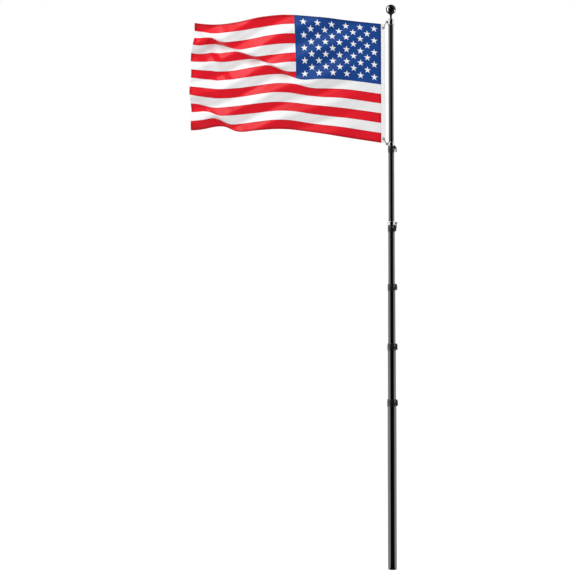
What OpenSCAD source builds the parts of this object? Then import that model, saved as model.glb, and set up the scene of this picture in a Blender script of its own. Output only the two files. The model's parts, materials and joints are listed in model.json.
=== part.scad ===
// Telescoping flagpole: six nested tubes held by five cam-lever clamps, a ball
// finial on a swivel top, two swivel rings, snap clips and one flag on the left.
// The origin is at the middle of the base cap's flat underside, with +Z up.

/* [Tubes] */
// Outside diameter of the top tube
top_tube_od = 38.5; // [32:0.5:42]
// Growth in outside diameter from each tube to the one below it
tube_step = 5.9; // [5.6:0.1:8]
// Wall of every tube
tube_wall = 1.5; // [1:0.1:2]
// Length of every tube
tube_length = 1265; // [1150:1:1500]

/* [Extension] */
// Rise of the top of tube 2 above the top of tube 1
rise_2 = 429; // [200:1:1000]
// Rise of the top of tube 3 above the top of tube 2
rise_3 = 458; // [200:1:1000]
// Rise of the top of tube 4 above the top of tube 3
rise_4 = 451; // [200:1:1000]
// Rise of the top of tube 5 above the top of tube 4
rise_5 = 609; // [200:1:1000]
// How far the top tube stands out beyond the height of its flag
hoist_room = 42; // [36:1:120]

/* [Base cap] */
// Height of the cap's rim below the bottom tube
cap_height = 12; // [9:0.5:20]
// Rounding of the rim's lower edge
cap_round = 8; // [3:0.5:8]
// Length of the cap's plug inside the bottom tube
cap_plug_length = 30; // [15:1:60]
// Wall of the cap's plug
cap_plug_wall = 3; // [2:0.5:5]

/* [Clamp collars] */
// Length of the collar that sleeves the tube below
sleeve_height = 26; // [20:1:45]
// Length of the collar that grips the tube above
grip_height = 30; // [27:1:40]
// Greatest stand-out of the collar from the tube below
collar_bulge = 3.4; // [2.5:0.1:5]
// Thickness of each cheek that carries the lever's pin
cheek_thick = 4; // [3:0.5:6]
// Radius of the cheek's rounded ends
cheek_radius = 7; // [5.5:0.5:8]
// Depth of the cheeks' tops below the collar's top
cheek_drop = 1; // [0.5:0.25:3]

/* [Clamp levers] */
// Distance from the gripped tube's face to the pin
cam_reach = 8; // [7.8:0.1:9]
// Depth of the pin below the collar's top
pin_depth = 17; // [15:0.5:18]
// Radius of the pin
pin_radius = 2.5; // [2:0.25:3]
// Radius of the pin's heads
pin_head_radius = 4; // [3.5:0.25:5]
// Height of the pin's heads
pin_head_height = 1.5; // [1:0.25:2.5]
// Radius of the lever's hub
hub_radius = 6; // [5:0.25:6.5]
// Width of the lever
lever_width = 16; // [12:0.5:18]
// Thickness of the lever's arm
arm_thick = 7; // [5:0.5:8]
// Distance from the pin to the arm's outer face
arm_offset = 13; // [12.5:0.5:14.5]
// Length of the arm below the pin
arm_length = 27; // [22:0.5:32]
// Radius of the rounded thumb tip
tip_radius = 4.25; // [4:0.25:5]

/* [Rings] */
// Wall of the swivel rings
ring_wall = 6; // [4:0.5:8]
// Height of the lower flag ring and the spare ring
ring_height = 27; // [22:1:35]
// Running room between a ring and its tube
ring_room = 1; // [0.5:0.1:1.5]
// Rounding of the rings' edges
ring_round = 2; // [1:0.25:2.5]
// Height of the top swivel
swivel_height = 41; // [35:1:60]
// Thickness of the lugs
lug_thick = 5; // [4:0.5:7]
// Radius of a lug's rounded end
lug_radius = 9; // [8:0.5:10]
// Radius of the hole in a lug
eye_radius = 4.5; // [4:0.25:5]

/* [Finial] */
// Diameter of the ball
ball_diameter = 76; // [60:1:100]
// Height of the neck under the ball
neck_height = 36; // [25:1:60]
// Radius of the neck under the ball
neck_top_radius = 11; // [9:0.5:14]
// Radius of the neck at its foot
neck_foot_radius = 7; // [5:0.5:9]
// Thickness of the washer that keeps the swivel on
washer_thick = 3; // [2:0.5:5]

/* [Clips] */
// Radius of the clip's rod
rod_radius = 2; // [1.5:0.25:2.5]
// Width of the clip between its rods' middles
clip_width = 14; // [12:0.5:16]
// Length of the spare clip between its ends' middles
spare_clip_length = 41; // [36:1:50]
// Radius of the sprung gate's sleeve
gate_radius = 2.6; // [2.6:0.1:3.2]

/* [Flag] */
// Height of the flag along its hoist
flag_hoist = 914; // [600:1:1000]
// Distance that the cloth's top edge reaches from its heading
flag_reach = 1431; // [1200:1:1600]
// Thickness of the cloth's solid
cloth_thick = 2; // [1:0.25:3]
// Width of the canvas heading
heading_width = 31; // [20:1:40]
// Gap between the pole's axis and the heading
heading_offset = 45; // [44:1:60]
// Drop of the flag's top corner below the top of the top tube
flag_drop = -10; // [-15:1:20]
// Distance of each grommet from the heading's end
grommet_inset = 32; // [24:1:45]
// Radius of the grommet's hole
grommet_radius = 5; // [4.5:0.25:6]
// Outer radius of the grommet's flanges
grommet_flange = 9.5; // [8:0.25:9.5]

/* [Hidden] */

$fn = 72;

// Tubes are counted from the ground up, and clamp k joins tube k to tube k + 1
tube_count = 6;
rises = [0, rise_2, rise_3, rise_4, rise_5, flag_hoist + hoist_room];

// Directions of the levers round the pole, as each tube happens to be turned
lever_turns = [-43, -41, -37, -48, -10];

// Directions of the lugs: the flag's to the left, the spare one to the right
flag_turn = 180;
spare_turn = 0;

// Clearances
fit_gap = 0.1;
plug_gap = 0.5;
grip_gap = 0.3;
seat_gap = 0.3;
hinge_gap = 0.15;
side_gap = 0.5;
overrun = 1;

// Outline of the collar's barrel from its foot to its top
barrel_height_shares = [0, 0.03, 0.12, 0.25, 0.4, 0.6, 0.76, 0.82, 0.97, 1];
barrel_bulge_shares = [0.3, 0.45, 0.75, 0.95, 1, 0.96, 0.85, 0.6, 0.45, 0.25];

// Outline of the finial's neck from its foot to its top
neck_height_shares = [0, 0.12, 0.3, 0.5, 0.7, 0.88, 1];
neck_swell_shares = [0.3, 0, 0.04, 0.16, 0.38, 0.7, 1];

cap_plug_radius = tube_radius(1) - tube_wall - plug_gap;
cam_throw = cam_reach - grip_gap - hub_radius;
slot_width = lever_width + 2 * side_gap;
slot_depth = hub_radius + cam_throw + side_gap;
pin_rise = grip_height - pin_depth;
pin_length = slot_width + 2 * cheek_thick;

pole_top = tube_top(tube_count);
top_radius = tube_radius(tube_count);
boss_radius = top_radius - ring_room;
plug_flange = washer_thick;
swivel_z = pole_top + plug_flange + seat_gap;
washer_z = swivel_z + swivel_height + seat_gap;
neck_z = washer_z + washer_thick;
ball_radius = ball_diameter / 2;
ball_seat = sqrt(pow(ball_radius, 2) - pow(neck_top_radius, 2));
ball_z = neck_z + neck_height + ball_seat;

swivel_outer = boss_radius + seat_gap + ring_wall;
flag_ring_outer = top_radius + ring_room + ring_wall;
spare_ring_inner = tube_radius(tube_count - 1) + ring_room;
spare_ring_outer = spare_ring_inner + ring_wall;
flag_ring_z = collar_top(tube_count - 1) + seat_gap;
spare_ring_z = collar_top(tube_count - 2) + seat_gap;

// Middles of the holes in the lugs
eye_offset = lug_radius - overrun;
swivel_eye = [-(swivel_outer + eye_offset), 0, swivel_z + swivel_height / 2];
flag_ring_eye = [-(flag_ring_outer + eye_offset), 0, flag_ring_z + ring_height / 2];
spare_eye = [spare_ring_outer + eye_offset, 0, spare_ring_z + ring_height / 2];

// The heading and its grommets
flag_top = pole_top - flag_drop;
flag_bottom = flag_top - flag_hoist;
heading_x = -heading_offset - heading_width / 2;
cloth_x = -heading_offset - heading_width;
top_eyelet = [heading_x, 0, flag_top - grommet_inset];
lower_eyelet = [heading_x, 0, flag_bottom + grommet_inset];
eyelet_wall = 0.9;
eyelet_flange_thick = 1;

// Rest of a clip's rod in the holes that it hangs from, where its bend rides on the hole's two rims
eyelet_thick = cloth_thick + 2 * (fit_gap + eyelet_flange_thick);
eye_seat = eye_radius - rod_radius - seat_gap - bend_drop(lug_thick);
eyelet_seat = grommet_radius - rod_radius - seat_gap - bend_drop(eyelet_thick);

// Cloth: u runs from hoist to fly and v from top to bottom, both from 0 to 1
cloth_columns = 44;
cloth_rows = 24;

// Both edges climb from the hoist and sink again towards the fly
top_climb_share = 0.175;
top_sink_share = 0.162;
bottom_climb_share = 0.245;
bottom_sink_share = 0.145;
sink_start_share = 0.45;
sink_span_share = 0.5;

// Sway of the rows between the edges: up by the hoist, down in the middle and up again at the fly
hoist_sway_share = -0.029;
middle_sway_share = 0.011;
fly_sway_share = -0.035;
sway_start_share = 0.15;
sway_span_share = 0.35;
fly_start_share = 0.86;
fly_span_share = 0.12;

// Lean of the columns towards the pole, and the fly's belly and ripples
lean_share = 0.0125;
fly_belly_share = 0.03;
fly_belly_turn = 135;
fly_pull_share = 0.008;
fly_curl_share = 0.02;
fly_curls = 3;

// Fold that slants down from the fly's top corner to the middle of the flag
fold_u_share = 0.46;
fold_v_share = 0.55;
fold_slope_share = 0.904;
fold_start_share = 0.28;
fold_growth_share = 0.32;
fold_end_share = 0.88;
fold_fade_share = 0.1;
fold_width_share = 0.13;
fold_loss_share = 0.078;
fold_depth_share = 0.055;

// Tuck that lifts the bottom edge near the fly
tuck_u_share = 0.855;
tuck_v_share = 0.9;
tuck_span_share = 0.1;
tuck_slope_share = 1.25;
tuck_width_share = 0.16;
tuck_loss_share = 0.072;
tuck_depth_share = 0.05;

// Crease that crosses the fly's upper part
crease_u_share = 0.91;
crease_v_share = 0.3;
crease_slope_share = 2.7;
crease_width_share = 0.07;
crease_depth_share = 0.022;

// Waves across the cloth: their depth, crests along u and along v, and where they grow
corner_share = 0.11;
rising_wave_share = 0.018;
rising_crests = [-2.6, 4];
rising_growth_share = 0.3;
falling_wave_share = 0.012;
falling_crests = [4.3, 1.6];
falling_start_share = 0.45;

function tube_radius(k) = top_tube_od / 2 + (tube_count - k) * tube_step / 2;
function rise_sum(k) = k == 0 ? 0 : rises[k - 1] + rise_sum(k - 1);
function tube_top(k) = cap_height + tube_length + rise_sum(k);
function collar_top(k) = tube_top(k) + grip_height;
function grip_radius(k) = tube_radius(k + 1) + grip_gap;
function pin_offset(k) = tube_radius(k + 1) + cam_reach;

// Drop of a clip's inner bend across half of a plate's thickness
function bend_drop(thick) = let (bend = clip_width / 2 - rod_radius) bend - sqrt(pow(bend, 2) - pow(thick / 2, 2));

// Smooth step from 0 to 1, and a smooth hump that fades away from 0
function ease(t) = let (c = min(max(t, 0), 1)) c * c * (3 - 2 * c);
function hump(t) = exp(-t * t);

// Heights of the cloth's top and bottom edges
function cloth_sink(u) = ease((u - sink_start_share) / sink_span_share);
function tuck(u) = hump((u - tuck_u_share) / tuck_span_share);
function cloth_top(u) = flag_top + flag_hoist * (top_climb_share * u - top_sink_share * cloth_sink(u));
function cloth_bottom(u) = flag_bottom + flag_hoist
    * (bottom_climb_share * u - bottom_sink_share * cloth_sink(u) + tuck_loss_share * tuck(u) * tuck_turn(u, 1));

// How far the fold and the tuck have turned at a place on the cloth, from 0 above to 1 below
function fold_growth(u) = ease((u - fold_start_share) / fold_growth_share)
    * (1 - ease((u - fold_end_share) / fold_fade_share));
function fold_turn(u, v) = ease(0.5 + (v - fold_v_share + fold_slope_share * (u - fold_u_share)) / fold_width_share);
function tuck_turn(u, v) = ease(0.5 + (v - tuck_v_share + tuck_slope_share * (u - tuck_u_share)) / tuck_width_share);

// How far the fly and the middle of the cloth have begun
function fly(u) = ease((u - fly_start_share) / fly_span_share);
function middle(u) = ease((u - sway_start_share) / sway_span_share);
function cloth_sway(u) = hoist_sway_share * (1 - middle(u)) + middle_sway_share * (middle(u) - fly(u))
    + fly_sway_share * fly(u);

// Share of the way from the top edge to the bottom edge, with the lengths that the folds hide taken out
function cloth_way(u, v) = v - fold_loss_share * fold_growth(u) * fold_turn(u, v)
    - tuck_loss_share * tuck(u) * tuck_turn(u, v);
function cloth_fall(u, v) = cloth_way(u, v) / cloth_way(u, 1) + cloth_sway(u) * sin(180 * v);

// Share of the way from the heading to the fly
function cloth_reach(u, v) = u + fly_belly_share * pow(u, 3) * sin(fly_belly_turn * v)
    - lean_share * sin(180 * u) * sin(180 * v) - fly_pull_share * fly(u) * (1 - cos(360 * fly_curls * v)) / 2;

// Wave with cornered crests, so that its flanks are nearly flat
function wave(t) = sin(360 * t) - corner_share * sin(3 * 360 * t);
function rising_wave(u, v) = -rising_wave_share * ease(u / rising_growth_share)
    * wave(rising_crests[0] * u + rising_crests[1] * v);
function falling_wave(u, v) = falling_wave_share * ease((u - falling_start_share) / (1 - falling_start_share))
    * wave(falling_crests[0] * u + falling_crests[1] * v);
function fly_curl(u, v) = fly_curl_share * fly(u) * sin(360 * fly_curls * v);
function crease(u, v) = crease_depth_share * hump((v - crease_v_share) / crease_v_share)
    * hump((v - crease_v_share + crease_slope_share * (u - crease_u_share)) / crease_width_share);
function fold_depth(u, v) = fold_depth_share * fold_growth(u) * (fold_turn(u, v) - v)
    + tuck_depth_share * tuck(u) * tuck_turn(u, v);
function cloth_depth(u, v) = flag_hoist
    * (fold_depth(u, v) + rising_wave(u, v) + falling_wave(u, v) + fly_curl(u, v) - crease(u, v));
function cloth_point(u, v) = [
    cloth_x - flag_reach * cloth_reach(u, v),
    cloth_depth(u, v),
    cloth_top(u) + (cloth_bottom(u) - cloth_top(u)) * cloth_fall(u, v)];

module base_cap() {
    rim = tube_radius(1);
    color("#1c1c1e") {
        rotate_extrude() {
            square([rim - cap_round, cap_height]);
            translate([0, cap_round]) square([rim, cap_height - cap_round]);
            intersection() {
                translate([rim - cap_round, cap_round]) circle(cap_round);
                square([rim, cap_round]);
            }
        }
        translate([0, 0, cap_height]) difference() {
            cylinder(h = cap_plug_length, r = cap_plug_radius);
            cylinder(h = cap_plug_length + overrun, r = cap_plug_radius - cap_plug_wall);
        }
    }
}

module tube(k) {
    color("#17181a") translate([0, 0, tube_top(k) - tube_length]) difference() {
        cylinder(h = tube_length, r = tube_radius(k));
        translate([0, 0, -overrun]) cylinder(h = tube_length + 2 * overrun, r = tube_radius(k) - tube_wall);
    }
}

// Puts what it holds in a clamp's own frame: x out along the lever, z up from the tube's end
module at_clamp(k) {
    translate([0, 0, tube_top(k)]) rotate([0, 0, lever_turns[k - 1]]) children();
}

// Plate in the x and z plane, with its thickness across y
module upright_plate(thick) {
    rotate([90, 0, 0]) linear_extrude(thick, center = true) children();
}

module collar_barrel(k) {
    foot = -sleeve_height;
    height = sleeve_height + grip_height;
    outer = [for (i = [0 : len(barrel_height_shares) - 1])
        [tube_radius(k) + collar_bulge * barrel_bulge_shares[i], foot + height * barrel_height_shares[i]]];
    inner = [
        [grip_radius(k), grip_height],
        [grip_radius(k), 0],
        [tube_radius(k) + fit_gap, 0],
        [tube_radius(k) + fit_gap, foot]];
    rotate_extrude() polygon(concat(outer, inner));
}

// Upright cheek with round ends, from just below the pin to just below the collar's top
module cheek_outline(k) {
    upper = grip_height - cheek_drop - cheek_radius;
    for (z = [pin_rise, upper]) {
        translate([pin_offset(k), z]) circle(cheek_radius);
    }
    translate([0, pin_rise]) square([pin_offset(k) + cheek_radius, upper - pin_rise]);
    translate([0, pin_rise - cheek_radius]) square([pin_offset(k), upper - pin_rise + 2 * cheek_radius]);
}

module collar(k) {
    color("#141416") at_clamp(k) difference() {
        union() {
            collar_barrel(k);
            for (side = [-1, 1]) {
                translate([0, side * (slot_width + cheek_thick) / 2, 0])
                    upright_plate(cheek_thick) cheek_outline(k);
            }
        }
        cylinder(h = grip_height + overrun, r = grip_radius(k));
        translate([0, -slot_width / 2, pin_rise - slot_depth])
            cube([pin_offset(k) + cheek_radius + overrun, slot_width, grip_height]);
        translate([pin_offset(k), 0, pin_rise]) rotate([90, 0, 0])
            cylinder(h = pin_length + 2 * overrun, r = pin_radius + fit_gap, center = true);
    }
}

// Outline of the lever in its closed place, with the pin at the origin
module lever_outline() {
    elbow = arm_offset - hub_radius;
    translate([-cam_throw, 0]) circle(hub_radius);
    square([elbow, hub_radius]);
    translate([elbow, 0]) intersection() {
        circle(hub_radius);
        square(hub_radius);
    }
    translate([arm_offset - arm_thick, -arm_length]) square([arm_thick, arm_length]);
    translate([arm_offset - arm_thick / 2, -arm_length]) circle(tip_radius);
}

module lever(k) {
    color("#101012") at_clamp(k) translate([pin_offset(k), 0, pin_rise]) difference() {
        upright_plate(lever_width) lever_outline();
        rotate([90, 0, 0]) cylinder(h = lever_width + 2 * overrun, r = pin_radius + hinge_gap, center = true);
    }
}

module pin(k) {
    color("#8d9094") at_clamp(k) translate([pin_offset(k), 0, pin_rise]) rotate([90, 0, 0]) {
        cylinder(h = pin_length, r = pin_radius, center = true);
        for (side = [0, 1]) {
            mirror([0, 0, side]) translate([0, 0, pin_length / 2])
                cylinder(h = pin_head_height, r = pin_head_radius);
        }
    }
}

module top_plug() {
    color("#1c1c1e") {
        translate([0, 0, pole_top - cap_plug_length])
            cylinder(h = cap_plug_length, r = top_radius - tube_wall - plug_gap);
        translate([0, 0, pole_top]) cylinder(h = plug_flange, r = top_radius);
        translate([0, 0, pole_top + plug_flange])
            cylinder(h = swivel_height + 2 * seat_gap, r = boss_radius);
    }
}

module top_washer() {
    color("#9a9da1") translate([0, 0, washer_z]) cylinder(h = washer_thick, r = swivel_outer - ring_round);
}

module finial_neck() {
    flank = [for (i = [0 : len(neck_height_shares) - 1]) [
        neck_foot_radius + (neck_top_radius - neck_foot_radius) * neck_swell_shares[i],
        neck_height * neck_height_shares[i]]];
    color("#101012") translate([0, 0, neck_z]) rotate_extrude()
        polygon(concat([[0, 0]], flank, [[0, neck_height]]));
}

module finial_ball() {
    color("#0c0c0e") translate([0, 0, ball_z]) difference() {
        sphere(ball_radius);
        translate([0, 0, -ball_seat - ball_radius]) cylinder(h = ball_radius, r = ball_radius);
    }
}

// Ring with rounded edges round the pole and a drilled lug on the side that it is turned to
module lugged_ring(inner, outer, height, turn) {
    eye = [outer + eye_offset, height / 2];
    difference() {
        union() {
            rotate_extrude() {
                translate([inner, ring_round]) square([outer - inner, height - 2 * ring_round]);
                translate([inner + ring_round, 0]) square([outer - inner - 2 * ring_round, height]);
                for (x = [inner + ring_round, outer - ring_round], z = [ring_round, height - ring_round]) {
                    translate([x, z]) circle(ring_round);
                }
            }
            rotate([0, 0, turn]) upright_plate(lug_thick) {
                translate(eye) circle(lug_radius);
                translate([inner, eye[1] - lug_radius]) square([eye[0] - inner, 2 * lug_radius]);
            }
        }
        translate([0, 0, -overrun]) cylinder(h = height + 2 * overrun, r = inner);
        rotate([0, 0, turn]) translate([eye[0], 0, eye[1]]) rotate([90, 0, 0])
            cylinder(h = lug_thick + 2 * overrun, r = eye_radius, center = true);
    }
}

module top_swivel() {
    color("#c9ccd0") translate([0, 0, swivel_z])
        lugged_ring(boss_radius + seat_gap, swivel_outer, swivel_height, flag_turn);
}

module lower_flag_ring() {
    color("#c9ccd0") translate([0, 0, flag_ring_z])
        lugged_ring(top_radius + ring_room, flag_ring_outer, ring_height, flag_turn);
}

module spare_ring() {
    color("#c9ccd0") translate([0, 0, spare_ring_z])
        lugged_ring(spare_ring_inner, spare_ring_outer, ring_height, spare_turn);
}

// Oval snap clip hanging from the origin, with its width across y
module clip_loop(length) {
    half = clip_width / 2;
    side = length - clip_width;
    gate = side - 2 * rod_radius;
    for (end = [0, 1]) {
        translate([0, 0, end == 0 ? -half : half - length]) rotate([90 - 180 * end, 0, 90])
            rotate_extrude(angle = 180) translate([half, 0]) circle(rod_radius);
    }
    for (y = [-half, half]) {
        translate([0, y, half - length]) cylinder(h = side, r = rod_radius);
    }
    translate([0, -half, half - length + rod_radius]) cylinder(h = gate, r = gate_radius);
}

// Clip stretched from a lug's hole to a grommet's hole
module clip_between(eye, eyelet) {
    span = eyelet - eye;
    reach = norm(span);
    start = eye + span * eye_seat / reach;
    translate(start) rotate([0, atan2(-span[0], -span[2]), 0]) clip_loop(reach - eye_seat - eyelet_seat);
}

module top_clip() {
    color("#a7abb0") clip_between(swivel_eye, top_eyelet);
}

module lower_clip() {
    color("#a7abb0") clip_between(flag_ring_eye, lower_eyelet);
}

module spare_clip() {
    color("#a7abb0") translate(spare_eye - [0, 0, eye_seat]) clip_loop(spare_clip_length);
}

module flag_cloth() {
    columns = cloth_columns + 1;
    rows = cloth_rows + 1;
    side = columns * rows;
    points = [for (face = [-1, 1], i = [0 : cloth_columns], j = [0 : cloth_rows])
        cloth_point(i / cloth_columns, j / cloth_rows) + [0, face * cloth_thick / 2, 0]];
    front = [for (i = [0 : cloth_columns - 1], j = [0 : cloth_rows - 1])
        let (a = i * rows + j) each [[a, a + 1, a + rows], [a + 1, a + rows + 1, a + rows]]];
    back = [for (f = front) [f[0] + side, f[2] + side, f[1] + side]];
    hoist_and_fly = [for (j = [0 : cloth_rows - 1]) each
        let (a = j, b = cloth_columns * rows + j) [
            [a, a + side, a + 1], [a + 1, a + side, a + side + 1],
            [b, b + 1, b + side], [b + 1, b + side + 1, b + side]]];
    top_and_bottom = [for (i = [0 : cloth_columns - 1]) each
        let (a = i * rows, b = i * rows + cloth_rows) [
            [a, a + rows, a + side], [a + rows, a + rows + side, a + side],
            [b, b + side, b + rows], [b + rows, b + side, b + rows + side]]];
    color("#b9252f") polyhedron(points, concat(front, back, hoist_and_fly, top_and_bottom));
}

module flag_heading() {
    color("#efece4") difference() {
        translate([cloth_x, -cloth_thick / 2, flag_bottom]) cube([heading_width, cloth_thick, flag_hoist]);
        for (eyelet = [top_eyelet, lower_eyelet]) {
            translate(eyelet) rotate([90, 0, 0])
                cylinder(h = cloth_thick + 2 * overrun, r = grommet_radius + eyelet_wall + fit_gap, center = true);
        }
    }
}

module grommet(eyelet) {
    color("#c9a445") translate(eyelet) rotate([90, 0, 0]) difference() {
        union() {
            cylinder(h = cloth_thick + 2 * fit_gap, r = grommet_radius + eyelet_wall, center = true);
            for (side = [0, 1]) {
                mirror([0, 0, side]) translate([0, 0, cloth_thick / 2 + fit_gap])
                    cylinder(h = eyelet_flange_thick, r = grommet_flange);
            }
        }
        cylinder(h = eyelet_thick + 2 * overrun, r = grommet_radius, center = true);
    }
}

base_cap();
for (k = [1 : tube_count]) {
    tube(k);
}
for (k = [1 : tube_count - 1]) {
    collar(k);
    lever(k);
    pin(k);
}
top_plug();
top_washer();
finial_neck();
finial_ball();
top_swivel();
lower_flag_ring();
spare_ring();
top_clip();
lower_clip();
spare_clip();
flag_cloth();
flag_heading();
grommet(top_eyelet);  // top_grommet
grommet(lower_eyelet);  // lower_grommet
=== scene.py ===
"""Dresses a telescoping flagpole: gloss-black tubes, moulded clamps, bright rings and a flying flag."""

import json
import math

import bmesh
import bpy
from bpy.props import FloatProperty, FloatVectorProperty, IntProperty, PointerProperty
from bpy.types import Operator, Panel, PropertyGroup
from mathutils import Matrix, Vector


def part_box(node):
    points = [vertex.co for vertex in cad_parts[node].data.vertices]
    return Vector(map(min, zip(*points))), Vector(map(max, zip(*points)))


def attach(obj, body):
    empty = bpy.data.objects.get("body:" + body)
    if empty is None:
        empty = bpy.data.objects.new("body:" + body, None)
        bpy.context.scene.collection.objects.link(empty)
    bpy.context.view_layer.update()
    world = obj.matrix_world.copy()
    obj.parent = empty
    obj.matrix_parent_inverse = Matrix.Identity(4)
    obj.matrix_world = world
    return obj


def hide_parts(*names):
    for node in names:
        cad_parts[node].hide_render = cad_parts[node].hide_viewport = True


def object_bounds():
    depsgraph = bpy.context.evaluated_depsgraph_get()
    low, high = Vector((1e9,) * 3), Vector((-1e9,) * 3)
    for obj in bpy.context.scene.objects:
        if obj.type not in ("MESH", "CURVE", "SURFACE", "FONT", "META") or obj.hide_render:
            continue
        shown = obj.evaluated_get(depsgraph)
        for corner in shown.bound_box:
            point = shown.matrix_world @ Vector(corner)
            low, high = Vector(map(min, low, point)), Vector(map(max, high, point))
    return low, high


bl_info = {
    "name": "Telescoping Flagpole",
    "version": (1, 0, 0),
    "blender": (4, 5, 0),
    "location": "3D View > Sidebar > Flagpole",
    "description": "Finishes, flag, stitching and studio for a telescoping flagpole",
    "category": "Object",
}

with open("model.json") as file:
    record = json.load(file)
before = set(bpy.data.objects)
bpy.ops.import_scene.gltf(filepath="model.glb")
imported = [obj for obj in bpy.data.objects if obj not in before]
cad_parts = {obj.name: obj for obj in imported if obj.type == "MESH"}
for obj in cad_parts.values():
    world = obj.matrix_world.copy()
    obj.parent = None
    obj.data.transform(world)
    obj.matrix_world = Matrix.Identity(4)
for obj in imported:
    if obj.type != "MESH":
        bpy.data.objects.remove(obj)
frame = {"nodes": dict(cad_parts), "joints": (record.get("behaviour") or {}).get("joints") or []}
CAD_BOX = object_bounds()
MM = 0.001
WHITE = (1.0, 1.0, 1.0, 1.0)

# What the fixed frame says about the flag
HEADING_LOW, HEADING_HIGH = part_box("flag_heading")
FLAG_TOP = HEADING_HIGH[2]
FLAG_BOTTOM = HEADING_LOW[2]
CLOTH_X = HEADING_LOW[0]
FLY_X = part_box("flag_cloth")[0][0]

# How the cloth flies, as shares of its own height and length: u runs from hoist to fly, v from top to bottom
TOP_CLIMB = 0.175
TOP_SINK = 0.162
BOTTOM_CLIMB = 0.245
BOTTOM_SINK = 0.145
SINK_START = 0.45
SINK_SPAN = 0.5
HOIST_SWAY = -0.029
MIDDLE_SWAY = 0.011
FLY_SWAY = -0.035
SWAY_START = 0.15
SWAY_SPAN = 0.35
FLY_START = 0.86
FLY_SPAN = 0.12
LEAN = 0.0125
FLY_BELLY = 0.03
FLY_BELLY_TURN = 135
FLY_PULL = 0.008
FLY_CURL = 0.02
FLY_CURLS = 3
FOLD_U = 0.46
FOLD_V = 0.55
FOLD_SLOPE = 0.904
FOLD_START = 0.28
FOLD_GROWTH = 0.32
FOLD_END = 0.88
FOLD_FADE = 0.1
FOLD_WIDTH = 0.13
FOLD_LOSS = 0.078
FOLD_DEPTH = 0.055
TUCK_U = 0.855
TUCK_V = 0.9
TUCK_SPAN = 0.1
TUCK_SLOPE = 1.25
TUCK_WIDTH = 0.16
TUCK_LOSS = 0.072
TUCK_DEPTH = 0.05
CREASE_U = 0.91
CREASE_V = 0.3
CREASE_SLOPE = 2.7
CREASE_WIDTH = 0.07
CREASE_DEPTH = 0.022
WAVE_CORNER = 0.11
RISING_WAVE = 0.018
RISING_CRESTS = (-2.6, 4.0)
RISING_GROWTH = 0.3
FALLING_WAVE = 0.012
FALLING_CRESTS = (4.3, 1.6)
FALLING_START = 0.45

# Layout of the flag's pattern
STRIPES = 13
CANTON_STRIPES = 7
CANTON_HIGH = CANTON_STRIPES / STRIPES
STAR_COLUMNS = 11
STAR_ROWS = 9
CANTON_COLUMNS = 12.25
STAR_POINTS = 5
TIP_HALF_ANGLE = math.radians(18)
STAR_EDGE = 0.4 * MM

# How bright dyed cloth is where a seam or hem doubles it: the doubled cloth's deeper colour, with painted shadow along
# the seams and hems
DOUBLED_DYE_AND_SHADOW = 0.72

# The width of a seam's step and the step that gives the cloth's slope
SEAM_EDGE = 0.4 * MM
SLOPE_STEP = 0.0015

# The heading: rows of its mesh, how its faces pucker between stitches, its section and its punched holes
HEADING_STEPS = 200
PUCKER_DEPTH = 0.12
PUCKER_STEPS = 4
TAPE_FOLD_STEPS = 8
TAPE_FACE_STEPS = 10
TAPE_EDGE_SHARE = 0.8
GROMMET_HOLE = 6 * MM
PUNCH_DEPTH = 20 * MM
PUNCH_SIDES = 40

# Steps in a row of stitches as long as the cloth, and how far rows lie from an edge
ROW_STEPS = 240
HEM_INSET = 3 * MM
HEADING_INSETS = (2.5 * MM, 6 * MM)

# Where a lever's ribs start, from its pin, the share of their radius that sits in its face, and their sides
LEVER_FACE = 13 * MM
LEVER_RIB_DROP = 8 * MM
RIB_SINK = 0.3
RIB_SIDES = 12

# The part of a noise's range that the finishes use
NOISE_LOW, NOISE_HIGH = 0.3, 0.7

# Where the studio's dark front starts and ends, on the left and on the right, and where its dark back does:
# -1 is straight behind the camera and 1 straight behind the object. Left turns to right within the middle span,
# and the least length keeps the point under the pole from dividing by nothing
DARK_START = (-0.7, -0.82)
DARK_END = (-0.54, -0.25)
BACK_START, BACK_END = 0.86, 0.72
MIDDLE_SPAN = 0.1
LEAST_LENGTH = 0.01

# Even fill from the surround, and the floor's size, its grey, its glow and the share of glow that the camera sees
FILL_LEVEL = 0.52
FLOOR_RADIUS = 30.0
FLOOR_SIDES = 64
FLOOR_GREY = 0.9
FLOOR_GLOW = 1.1
FLOOR_GLOW_SHARE = 0.88

# Lights: name, place, the point that they face, width and height in metres, power in watts
KEY_STRIP = ("Key strip", (-3.2, -3.0, 7.0), (-0.5, 0.0, 3.9), 1.2, 3.6, 160.0)
SOFTBOXES = (
    ("Left softbox", (-4.6, -3.4, 2.2), (0.0, 0.0, 2.2), 2.0, 5.5, 25.0),
    ("Right softbox", (4.4, -1.6, 2.2), (0.0, 0.0, 2.2), 1.6, 5.5, 45.0),
    ("Back softbox", (0.5, 5.0, 4.5), (-0.4, 0.0, 3.4), 3.0, 4.0, 110.0),
)
BALL_CARDS = (
    ("Left ball card", (-0.117, -0.028, 4.335), (0.0, 0.0, 4.335), 0.045, 0.22, 1.7),
    ("Right ball card", (0.12, 0.009, 4.262), (0.0, 0.0, 4.262), 0.05, 0.06, 0.25),
)

SECTIONS = range(1, 7)
CLAMPS = range(1, 6)
GROMMETS = ("top_grommet", "lower_grommet")


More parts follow.
